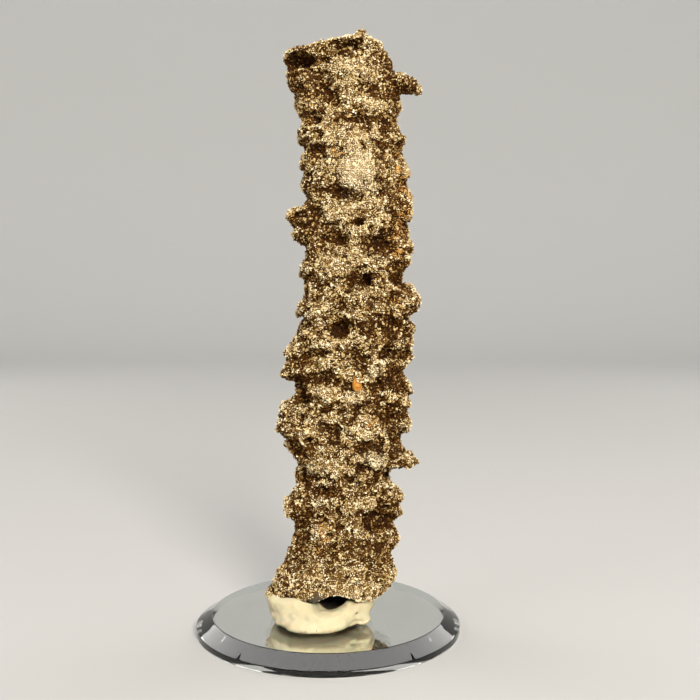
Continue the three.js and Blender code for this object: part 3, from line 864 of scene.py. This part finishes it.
def scattered(tree, given):
    """Points of one kind of grain on the crust, each with the crust's outward direction kept."""
    density = tree.math("DIVIDE", 4.0, tree.times(given["Spacing"], given["Spacing"]))
    points = tree.add(
        "GeometryNodeDistributePointsOnFaces",
        {
            "Mesh": given["Crust"],
            "Distance Min": given["Spacing"],
            "Density Max": density,
            "Density Factor": tree.stored("cover"),
            "Seed": given["Seed"],
        },
        distribute_method="POISSON",
    ).outputs
    chance = tree.random_number(0.0, 1.0, tree.plus(given["Seed"], 1))
    # Grains lean darker where the crust's tone carries painted shade.
    leaning = tree.minus(tree.stored("tone_with_painted_shade"), 0.5)
    chalk = tree.times(tree.stored("chalk"), 0.4)
    tone = tree.plus(tree.plus(chance, leaning), chalk)
    tone = tree.math("MAXIMUM", tone, 0.001)
    stain = tree.times(tree.stored("rust"), 0.75)
    stain_chance = tree.random_number(0.0, 1.0, tree.plus(given["Seed"], 2))
    rusty = tree.math("GREATER_THAN", stain, stain_chance)
    kind = tree.plus(tree.math("MINIMUM", tone, 1.9), tree.times(rusty, RUST_TONE))
    above = tree.math("LESS_THAN", kind, given["Tone from"])
    below = tree.math("GREATER_THAN", kind, tree.minus(given["Tone to"], 1e-6))
    kept = tree.keep(points["Points"], "outward", points["Normal"])
    wanted = tree.add(
        "GeometryNodeDeleteGeometry",
        {"Geometry": kept, "Selection": tree.plus(above, below)},
        domain="POINT",
    )
    return wanted.outputs[0]


def grain_tree():
    """Scatters one kind of grain over the crust and lays each grain out in a cell of its own map."""
    inputs = {
        "Crust": "Geometry",
        "Spacing": "Float",
        "Smallest": "Float",
        "Largest": "Float",
        "Proud": "Float",
        "Tone from": "Float",
        "Tone to": "Float",
        "Seed": "Int",
        "Material": "Material",
    }
    output = {"Grains": "Geometry"}
    tree, given, result = node_group("Sand grains", "GeometryNodeTree", inputs, output)
    tree.tree.is_modifier = True

    def seed(offset):
        return tree.plus(given["Seed"], offset)

    lifted = tree.scale(tree.stored("outward", "FLOAT_VECTOR"), given["Proud"])
    raised = tree.add("GeometryNodeSetPosition", {"Geometry": scattered(tree, given), "Offset": lifted})
    points = raised.outputs[0]
    # A square sheet of cells, one for each grain.
    count = tree.add("GeometryNodeAttributeDomainSize", {0: points}, component="POINTCLOUD").outputs[0]
    side = tree.math("CEIL", tree.math("SQRT", count))
    index = tree.add("GeometryNodeInputIndex").outputs[0]
    column = tree.math("MODULO", index, side)
    row = tree.math("FLOOR", tree.math("DIVIDE", index, side))
    points = tree.keep(points, "cell", tree.add("ShaderNodeCombineXYZ", {0: column, 1: row}).outputs[0])
    points = tree.keep(points, "luck", tree.random_number(0.0, 1.0, seed(3)), "FLOAT")

    # One of the shapes on each point, turned and stretched at random.
    shapes = tree.add("GeometryNodeJoinGeometry")
    for number in range(GRAIN_SHAPES):
        tree.tree.links.new(grain_shape(tree, number), shapes.inputs[0])
    skew = tree.math("POWER", tree.random_number(0.0, 1.0, seed(6)), 1.6)
    span = tree.minus(given["Largest"], given["Smallest"])
    radius = tree.plus(given["Smallest"], tree.times(skew, span))
    stretch = tree.random_vector((0.5, 0.5, 0.8), (1.1, 1.1, 2.0), seed(7))
    pick = tree.math("FLOOR", tree.random_number(0.0, GRAIN_SHAPES - 0.001, seed(4)))
    turn = tree.random_vector((0, 0, 0), (6.28, 6.28, 6.28), seed(5))
    placed = tree.add(
        "GeometryNodeInstanceOnPoints",
        {
            "Points": points,
            "Instance": shapes.outputs[0],
            "Pick Instance": True,
            "Instance Index": pick,
            "Rotation": turn,
            "Scale": tree.scale(stretch, radius),
        },
    )
    solid = tree.add("GeometryNodeRealizeInstances", {"Geometry": placed.outputs[0]}).outputs[0]

    # Each grain's own map, moved to its cell of the sheet.
    spot = tree.vector("ADD", tree.stored("cell", "FLOAT_VECTOR"), tree.stored("leaf", "FLOAT_VECTOR"))
    across = tree.scale(spot, tree.math("DIVIDE", 1.0, side))
    solid = tree.keep(solid, BAKE_MAP, across, "FLOAT2", "CORNER")
    for name in ("cell", "leaf", "outward", "cover", "inside"):
        solid = tree.add("GeometryNodeRemoveAttribute", {"Geometry": solid, "Name": name}).outputs[0]
    coated = tree.add("GeometryNodeSetMaterial", {"Geometry": solid, "Material": given["Material"]})
    tree.feed(result, coated.outputs[0])
    return tree.tree


def grain_material(settings, name, dark, light, roughness, specular, mottle):
    """Sand grains of one kind, each with its own tone."""
    plain = {"Roughness": roughness, "Specular IOR Level": specular}
    made, tree, shader, place = material(name, plain)
    sand = mottled(tree, mottle, place, dark, light, tree.attribute("luck"), 7 * MM)
    pale = tree.times(tree.attribute("chalk"), 0.25)
    tree.feed(shader.inputs["Base Color"], tree.blend(pale, sand, four(settings.dust_colour)))
    return made


class FULGURITE_OT_grains(bpy.types.Operator):
    """Scatter the sand grains over the crust"""

    bl_idname = "fulgurite.grains"
    bl_label = "Sand grains"

    def execute(self, context):
        settings = context.scene.fulgurite_grains
        crust = bpy.data.objects["crust"]
        mottle = bpy.data.node_groups["Sand mottle"]
        tree = grain_tree()
        for name, first, last, dark, light, roughness, specular in GRAIN_KINDS:
            holder = linked(name, crust.data)
            made = grain_material(settings, name, dark, light, roughness, specular, mottle)
            values = {
                "Spacing": settings.spacing,
                "Smallest": settings.smallest,
                "Largest": settings.largest,
                "Proud": settings.proud,
                "Tone from": first,
                "Tone to": last,
                "Seed": settings.seed,
                "Material": made,
            }
            scatter = holder.modifiers.new("Scatter", "NODES")
            scatter.node_group = tree
            for item in tree.interface.items_tree:
                if item.in_out == "INPUT" and item.name in values:
                    scatter[item.identifier] = values[item.name]
            mesh = evaluated_mesh(holder)
            if not mesh.polygons:
                raise RuntimeError(f"{name} came out empty")
            holder.modifiers.remove(scatter)
            holder.data = mesh
            mesh.name = name
            finished(holder, "fused_sand")
        return {"FINISHED"}


# ---- the orange pebble ----


# Where the pebble sits in the front of the crust: X and height.
PEBBLE_PLACE = (8.2 * MM, 72.4 * MM)


def pebble_place():
    """The point on the front of the crust where the pebble sits."""
    crust = bpy.data.objects["crust"]
    skin = BVHTree.FromObject(crust, bpy.context.evaluated_depsgraph_get())
    x, z = PEBBLE_PLACE
    hit, _, _, _ = skin.ray_cast(Vector((x, -60 * MM, z)), Vector((0, 1, 0)))
    if hit is None:
        raise RuntimeError("the pebble found no crust to sit in")
    return hit


def pebble_mesh(settings, place):
    """A smooth egg that narrows towards its top."""
    shape = bmesh.new()
    bmesh.ops.create_icosphere(shape, subdivisions=4, radius=1)
    for vertex in shape.verts:
        x, y, z = vertex.co
        narrowed = x * (1 - 0.12 * z)
        vertex.co = (settings.width * narrowed, settings.depth * y, settings.height * z)
    shape.transform(Matrix.Rotation(-settings.lean, 4, "Y"))
    shape.transform(Matrix.Translation(place - Vector((0, settings.proud, 0))))
    mesh = bpy.data.meshes.new("orange_pebble")
    shape.to_mesh(mesh)
    shape.free()
    mesh.shade_smooth()
    return mesh


def pebble_material(settings):
    """Orange quartz with cloudy veins."""
    made, tree, shader, place = material("Orange quartz", {"Roughness": 0.32})
    veins = tree.noise(place, 0.8 * MM, 3.0, 0.6)
    colours = ((0.3, settings.vein_colour), (0.5, settings.middle_colour), (0.7, settings.pale_colour))
    tree.feed(shader.inputs["Base Color"], tree.ramp(veins, colours))
    tree.feed(shader.inputs["Normal"], tree.bump(veins, 0.3, 0.06 * MM))
    return made


class FULGURITE_OT_pebble(bpy.types.Operator):
    """Set the smooth orange pebble into the front of the crust"""

    bl_idname = "fulgurite.pebble"
    bl_label = "Orange pebble"

    def execute(self, context):
        settings = context.scene.fulgurite_pebble
        pebble = linked("orange_pebble", pebble_mesh(settings, pebble_place()))
        pebble.data.materials.append(pebble_material(settings))
        finished(pebble, "fused_sand")
        return {"FINISHED"}


# ---- the putty ----


# Lobes of the front, and thumb dents with an amount below nothing: X, height, half width, half height
# and amount in millimetres.
PUTTY_LOBES = (
    (-11.0, 5.4, 6.0, 3.0, 1.6),
    (-2.6, 5.0, 8.0, 2.8, 1.9),
    (11.8, 9.0, 2.6, 1.6, 0.9),
    (-10.4, 9.6, 2.6, 2.4, -0.4),
    (-4.6, 8.6, 3.2, 1.8, -0.4),
    (7.0, 11.0, 2.0, 1.4, -0.5),
)
# Where the front sinks: its mouth under the fulgurite, and the fold at the right.
PUTTY_SAGS = (
    (-0.6, 11.8, 3.6, 2.4, 1.3),
    (-3.6, 12.6, 3.4, 1.4, 1.0),
    (8.0, 12.4, 3.6, 1.4, 0.7),
    (11.0, 7.2, 3.4, 1.8, 0.9),
)
# Creases where one layer was folded over another: X and height of both ends.
PUTTY_CREASES = (
    (11.4, 8.0, 6.8, 6.5),
)
# Grey smears on the front: X, height, half width, half height and amount.
PUTTY_SMEARS = (
    (-12.4, 8.4, 1.5, 2.4, 1.2),
    (-9.6, 9.2, 2.4, 1.3, 1.0),
    (-5.0, 8.4, 1.6, 1.0, 0.5),
)
# Specks of dirt on the front, laid out like the smears.
PUTTY_SPECKS = ((8.1, 9.0, 0.5, 0.4, 1.5),)
# Its thumbed surface: height, width and layer of noise.
PUTTY_LUMPS = ((0.26 * MM, 4.2 * MM, 5), (0.20 * MM, 1.9 * MM, 6), (0.09 * MM, 0.9 * MM, 7))
# The hollow in its top, painted dark as shade: X, Y, half width and half depth.
PUTTY_DISH_SHADE = (1.8, -6.5, 5.2, 7.4)
# The middle that its lobes bulge away from: X and Y.
PUTTY_MIDDLE = (-2.2, -5)


def crease_distance(points, crease):
    """Distance of each point from a crease, seen from the front."""
    first_x, first_z, last_x, last_z = (value * MM for value in crease)
    along = np.array([last_x - first_x, last_z - first_z])
    offset = points[:, [0, 2]] - np.array([first_x, first_z])
    share = np.clip(offset @ along / (along @ along), 0, 1)
    return np.linalg.norm(offset - share[:, None] * along, axis=1)


def putty_mesh(settings):
    """The putty's solid, softened, with thumb dents, creases and faint layers."""
    mesh = even_skin("mounting_putty", settings.skin)
    edges = edges_of(mesh)
    points = softened(points_of(mesh), edges, 8)
    points[:, 2] = np.maximum(points[:, 2], PUTTY_FLOOR)
    set_points(mesh, points)
    normals = normals_of(mesh)
    free = smoothstep(0.1 * MM, 1.0 * MM, points[:, 2] - PUTTY_FLOOR)
    front = smoothstep(0.1, 0.5, -normals[:, 1])
    swell = sum(height * drift(points, width, layer) for height, width, layer in PUTTY_LUMPS)
    layers = points * np.array([0.35, 0.35, 1.6]) + 0.4 * MM * drift(points, 3 * MM, 8)[:, None]
    swell += 0.10 * MM * drift(layers, 1.6 * MM, 9)
    for crease in PUTTY_CREASES:
        away = crease_distance(points, crease)
        swell -= settings.crease_depth * front * (1 - smoothstep(0, 0.7 * MM, away))
        swell += 0.2 * settings.crease_depth * front * (1 - smoothstep(0.5 * MM, 1.5 * MM, away))
    outward = points * np.array([1, 1, 0]) - np.array([*PUTTY_MIDDLE, 0]) * MM
    outward /= np.linalg.norm(outward, axis=1)[:, None]
    lobes = spotted(points, PUTTY_LOBES) * MM
    sags = spotted(points, PUTTY_SAGS) * MM
    points = points + normals * (swell * free)[:, None] + outward * lobes[:, None]
    points[:, 2] -= sags
    points[:, 2] = np.maximum(points[:, 2], PUTTY_FLOOR)
    set_points(mesh, points)
    smear = spotted(points, PUTTY_SMEARS)
    store(mesh, "smear", smear * smoothstep(-0.3, 0.5, drift(points, 1.3 * MM, 10)))
    # The hollow on top gets painted shade where it faces up; the specks are dirt.
    dish_x, dish_y, half_width, half_depth = (value * MM for value in PUTTY_DISH_SHADE)
    away = np.hypot((points[:, 0] - dish_x) / half_width, (points[:, 1] - dish_y) / half_depth)
    shade = (1 - smoothstep(0.85, 1.05, away)) * smoothstep(-0.2, 0.3, normals_of(mesh)[:, 2])
    store(mesh, "dirt_and_shade", np.maximum(shade, np.minimum(spotted(points, PUTTY_SPECKS), 0.85)))
    return mesh


def putty_material(settings):
    """Matt cream putty with faint grey smears, a few specks of dirt and painted shade in the hollow on
    top.
    """
    plain = {"Roughness": 0.6, "Subsurface Weight": 0.3, "Subsurface Scale": 1.6 * MM}
    made, tree, shader, place = material("Cream putty", plain)
    clouds = tree.noise(place, 5 * MM, 4.0, 0.6)
    clean = tree.ramp(clouds, ((0.3, settings.cloud_colour), (0.7, settings.colour)))
    smears = tree.noise(tree.vector("MULTIPLY", place, (1, 1, 2.2)), 2.6 * MM, 5.0, 0.65)
    faint = tree.times(tree.minus(smears, 0.58, clamp=True), 1.6)
    share = tree.plus(faint, tree.times(tree.attribute("smear"), 0.6), clamp=True)
    smeared = tree.blend(share, clean, four(settings.smear_colour))
    dots = tree.add("ShaderNodeTexVoronoi", {"Vector": place, "Scale": 1 / (2.6 * MM)})
    speck = tree.math("LESS_THAN", dots.outputs["Distance"], 0.07)
    dirt_and_shade = tree.math("MAXIMUM", tree.times(speck, 0.7), tree.attribute("dirt_and_shade"))
    tree.feed(shader.inputs["Base Color"], tree.blend(dirt_and_shade, smeared, four(settings.dirt_and_shade_colour)))
    fine = tree.noise(place, 0.35 * MM, 3.0, 0.6)
    tree.feed(shader.inputs["Normal"], tree.bump(fine, 0.3, 0.05 * MM))
    return made


class FULGURITE_OT_putty(bpy.types.Operator):
    """Build the lump of mounting putty"""

    bl_idname = "fulgurite.putty"
    bl_label = "Putty"

    def execute(self, context):
        settings = context.scene.fulgurite_putty
        putty = linked("putty", putty_mesh(settings))
        putty.data.materials.append(putty_material(settings))
        finished(putty, "putty", "mounting_putty")
        return {"FINISHED"}


# ---- the mirror ----


def glass_profile(settings):
    """Half the section of the bevelled glass, from its underside to its top."""
    radius = GLASS_HIGH.x
    low = GLASS_LOW.z + settings.film_gap
    high = GLASS_HIGH.z
    shoulder = settings.rim_height
    ease = settings.edge_round
    return (
        (0, low),
        (radius - ease, low),
        (radius - 0.3 * ease, low + 0.3 * ease),
        (radius, low + ease),
        (radius, shoulder - ease),
        (radius - 0.3 * ease, shoulder),
        (radius - ease, shoulder + 0.7 * ease),
        (radius - settings.bevel_width + ease, high - 0.7 * ease),
        (radius - settings.bevel_width - 0.2 * ease, high - 0.15 * ease),
        (radius - settings.bevel_width - 1.2 * ease, high),
        (0, high),
    )


CLEAR_GLASS = {
    "Base Color": (0.97, 0.99, 0.98, 1),
    "Roughness": 0.0,
    "IOR": 1.52,
    "Transmission Weight": 1.0,
}
SILVER_HAZE = ((0.2, (0.90, 0.90, 0.89)), (0.8, (0.95, 0.95, 0.94)))


class FULGURITE_OT_mirror(bpy.types.Operator):
    """Build the bevelled glass and the silver film under it"""

    bl_idname = "fulgurite.mirror"
    bl_label = "Mirror"

    def execute(self, context):
        settings = context.scene.fulgurite_mirror
        mesh = lathed("bevelled_glass", glass_profile(settings), settings.segments)
        glass = linked("bevelled_glass", mesh)
        mesh.materials.append(material("Clear glass", CLEAR_GLASS)[0])
        finished(glass, "glass", "mirror_glass")

        radius = BACK_HIGH.x
        top = BACK_HIGH.z
        profile = ((0, BACK_LOW.z), (radius, BACK_LOW.z), (radius, top), (0, top))
        film = linked("silver_film", lathed("silver_film", profile, settings.segments))
        plain = {"Metallic": 1.0, "Roughness": 0.015}
        silver, tree, shader, place = material("Silver film", plain)
        haze = tree.noise(place, 9 * MM, 3.0)
        tree.feed(shader.inputs["Base Color"], tree.ramp(haze, SILVER_HAZE))
        film.data.materials.append(silver)
        finished(film, "backing", "mirror_backing")
        return {"FINISHED"}


# ---- the stage ----


WARM_LIGHT = (1.0, 0.95, 0.86)
WHITE_LIGHT = (1.0, 0.98, 0.95)


def area_light(name, place, target, size, watts, colour):
    """A soft square light that faces a point."""
    lamp = bpy.data.lights.new(name, "AREA")
    lamp.size = size
    lamp.energy = watts
    lamp.color = colour
    light = bpy.data.objects.new(name, lamp)
    light.location = place
    light.rotation_euler = (Vector(target) - Vector(place)).to_track_quat("-Z", "Y").to_euler()
    bpy.context.scene.collection.objects.link(light)


def arc_places(eye, mirror):
    """Places for an arc of panels overhead that the front of the bevel mirrors to the camera."""
    slope = math.atan2(GLASS_HIGH.z - mirror.rim_height, mirror.bevel_width)
    places = []
    for bearing in range(-60, 61, 15):
        turn = math.radians(bearing)
        outward = Vector((math.sin(turn), -math.cos(turn), 0))
        spot = outward * (GLASS_HIGH.x - mirror.bevel_width / 2)
        spot.z = (GLASS_HIGH.z + mirror.rim_height) / 2
        normal = outward * math.sin(slope)
        normal.z = math.cos(slope)
        sight = (spot - Vector(eye)).normalized()
        places.append(spot + 0.95 * sight.reflect(normal))
    return places


def place_camera(settings):
    """The camera, level from side to side."""
    lens = bpy.data.cameras.new("camera")
    lens.sensor_width = 36
    lens.lens = settings.lens
    lens.clip_start = 0.01
    lens.clip_end = 20
    camera = bpy.data.objects.new("camera", lens)
    camera.location = settings.eye
    camera.rotation_euler = (math.radians(90) - settings.tilt, 0, 0)
    bpy.context.scene.collection.objects.link(camera)
    bpy.context.scene.camera = camera


def lay_floor(settings):
    """A round pale floor that bends up into a wall."""
    flat = 1.1
    bend = 0.5
    reach = 1.8
    height = 2.2
    thick = 0.05
    turn = np.linspace(0, math.radians(84), 10)
    profile = [(0, 0)]
    profile += [(flat + bend * math.sin(a), bend * (1 - math.cos(a))) for a in turn]
    profile += [(reach - thick, height), (reach, height), (reach, -thick), (0, -thick)]
    mesh = lathed("floor", profile[::-1], 96)
    mesh.shade_smooth()
    made, tree, shader, place = material("Pale floor", {"Roughness": 0.7})
    away = tree.add("ShaderNodeVectorMath", {0: place}, operation="LENGTH").outputs["Value"]
    shades = ((0.2, settings.floor_colour), (1.0, settings.wall_colour))
    tree.feed(shader.inputs["Base Color"], tree.ramp(tree.math("DIVIDE", away, 1.7), shades))
    mesh.materials.append(made)
    linked("floor", mesh)


def light_sky(settings):
    """Even light from all round."""
    world = bpy.data.worlds.new("studio")
    world.use_nodes = True
    bpy.context.scene.world = world
    sky = world.node_tree.nodes["Background"]
    sky.inputs["Color"].default_value = (*WHITE_LIGHT, 1)
    sky.inputs["Strength"].default_value = settings.sky


class FULGURITE_OT_stage(bpy.types.Operator):
    """Set up the camera, the pale floor and the soft lights"""

    bl_idname = "fulgurite.stage"
    bl_label = "Stage"

    def execute(self, context):
        settings = context.scene.fulgurite_stage
        place_camera(settings)
        lay_floor(settings)
        light_sky(settings)
        middle = (CRUST_LOW + CRUST_HIGH) / 2
        area_light("key", (0.22, -0.62, 0.42), middle, 0.22, settings.key, WARM_LIGHT)
        area_light("fill", (-0.60, -0.42, 0.50), middle, 0.4, settings.fill, WHITE_LIGHT)
        area_light("wall", (0.0, 0.75, 1.7), (0, 1.6, 0.5), 1.2, settings.wall, WHITE_LIGHT)
        for place in arc_places(settings.eye, context.scene.fulgurite_mirror):
            area_light("arc", place, (0, 0, 0), 0.25, settings.arc, WHITE_LIGHT)
        context.scene.view_settings.view_transform = "Standard"
        return {"FINISHED"}


# ---- the panel and the run ----


class FULGURITE_PT_panel(bpy.types.Panel):
    """Steps that build the fulgurite, in order"""

    bl_label = "Fulgurite"
    bl_idname = "FULGURITE_PT_panel"
    bl_space_type = "VIEW_3D"
    bl_region_type = "UI"
    bl_category = "Fulgurite"

    def draw(self, context):
        layout = self.layout
        for group, operator in STEPS:
            box = layout.box()
            settings = getattr(context.scene, group)
            for name in settings.__annotations__:
                box.prop(settings, name)
            box.operator(operator)


STEPS = (
    ("fulgurite_stage", "fulgurite.stage"),
    ("fulgurite_crust", "fulgurite.crust"),
    ("fulgurite_grains", "fulgurite.grains"),
    ("fulgurite_pebble", "fulgurite.pebble"),
    ("fulgurite_putty", "fulgurite.putty"),
    ("fulgurite_mirror", "fulgurite.mirror"),
)

GROUPS = {
    "fulgurite_stage": StageSettings,
    "fulgurite_crust": CrustSettings,
    "fulgurite_grains": GrainSettings,
    "fulgurite_pebble": PebbleSettings,
    "fulgurite_putty": PuttySettings,
    "fulgurite_mirror": MirrorSettings,
}

CLASSES = (
    *GROUPS.values(),
    FULGURITE_OT_stage,
    FULGURITE_OT_crust,
    FULGURITE_OT_grains,
    FULGURITE_OT_pebble,
    FULGURITE_OT_putty,
    FULGURITE_OT_mirror,
    FULGURITE_PT_panel,
)


def register():
    for made in CLASSES:
        bpy.utils.register_class(made)
    for name, group in GROUPS.items():
        setattr(bpy.types.Scene, name, PointerProperty(type=group))


def unregister():
    for name in GROUPS:
        delattr(bpy.types.Scene, name)
    for made in reversed(CLASSES):
        bpy.utils.unregister_class(made)


def main():
    """Builds every piece in order."""
    register()
    for _, operator in STEPS:
        family, step = operator.split(".")
        getattr(getattr(bpy.ops, family), step)()


if __name__ == "__main__":
    main()
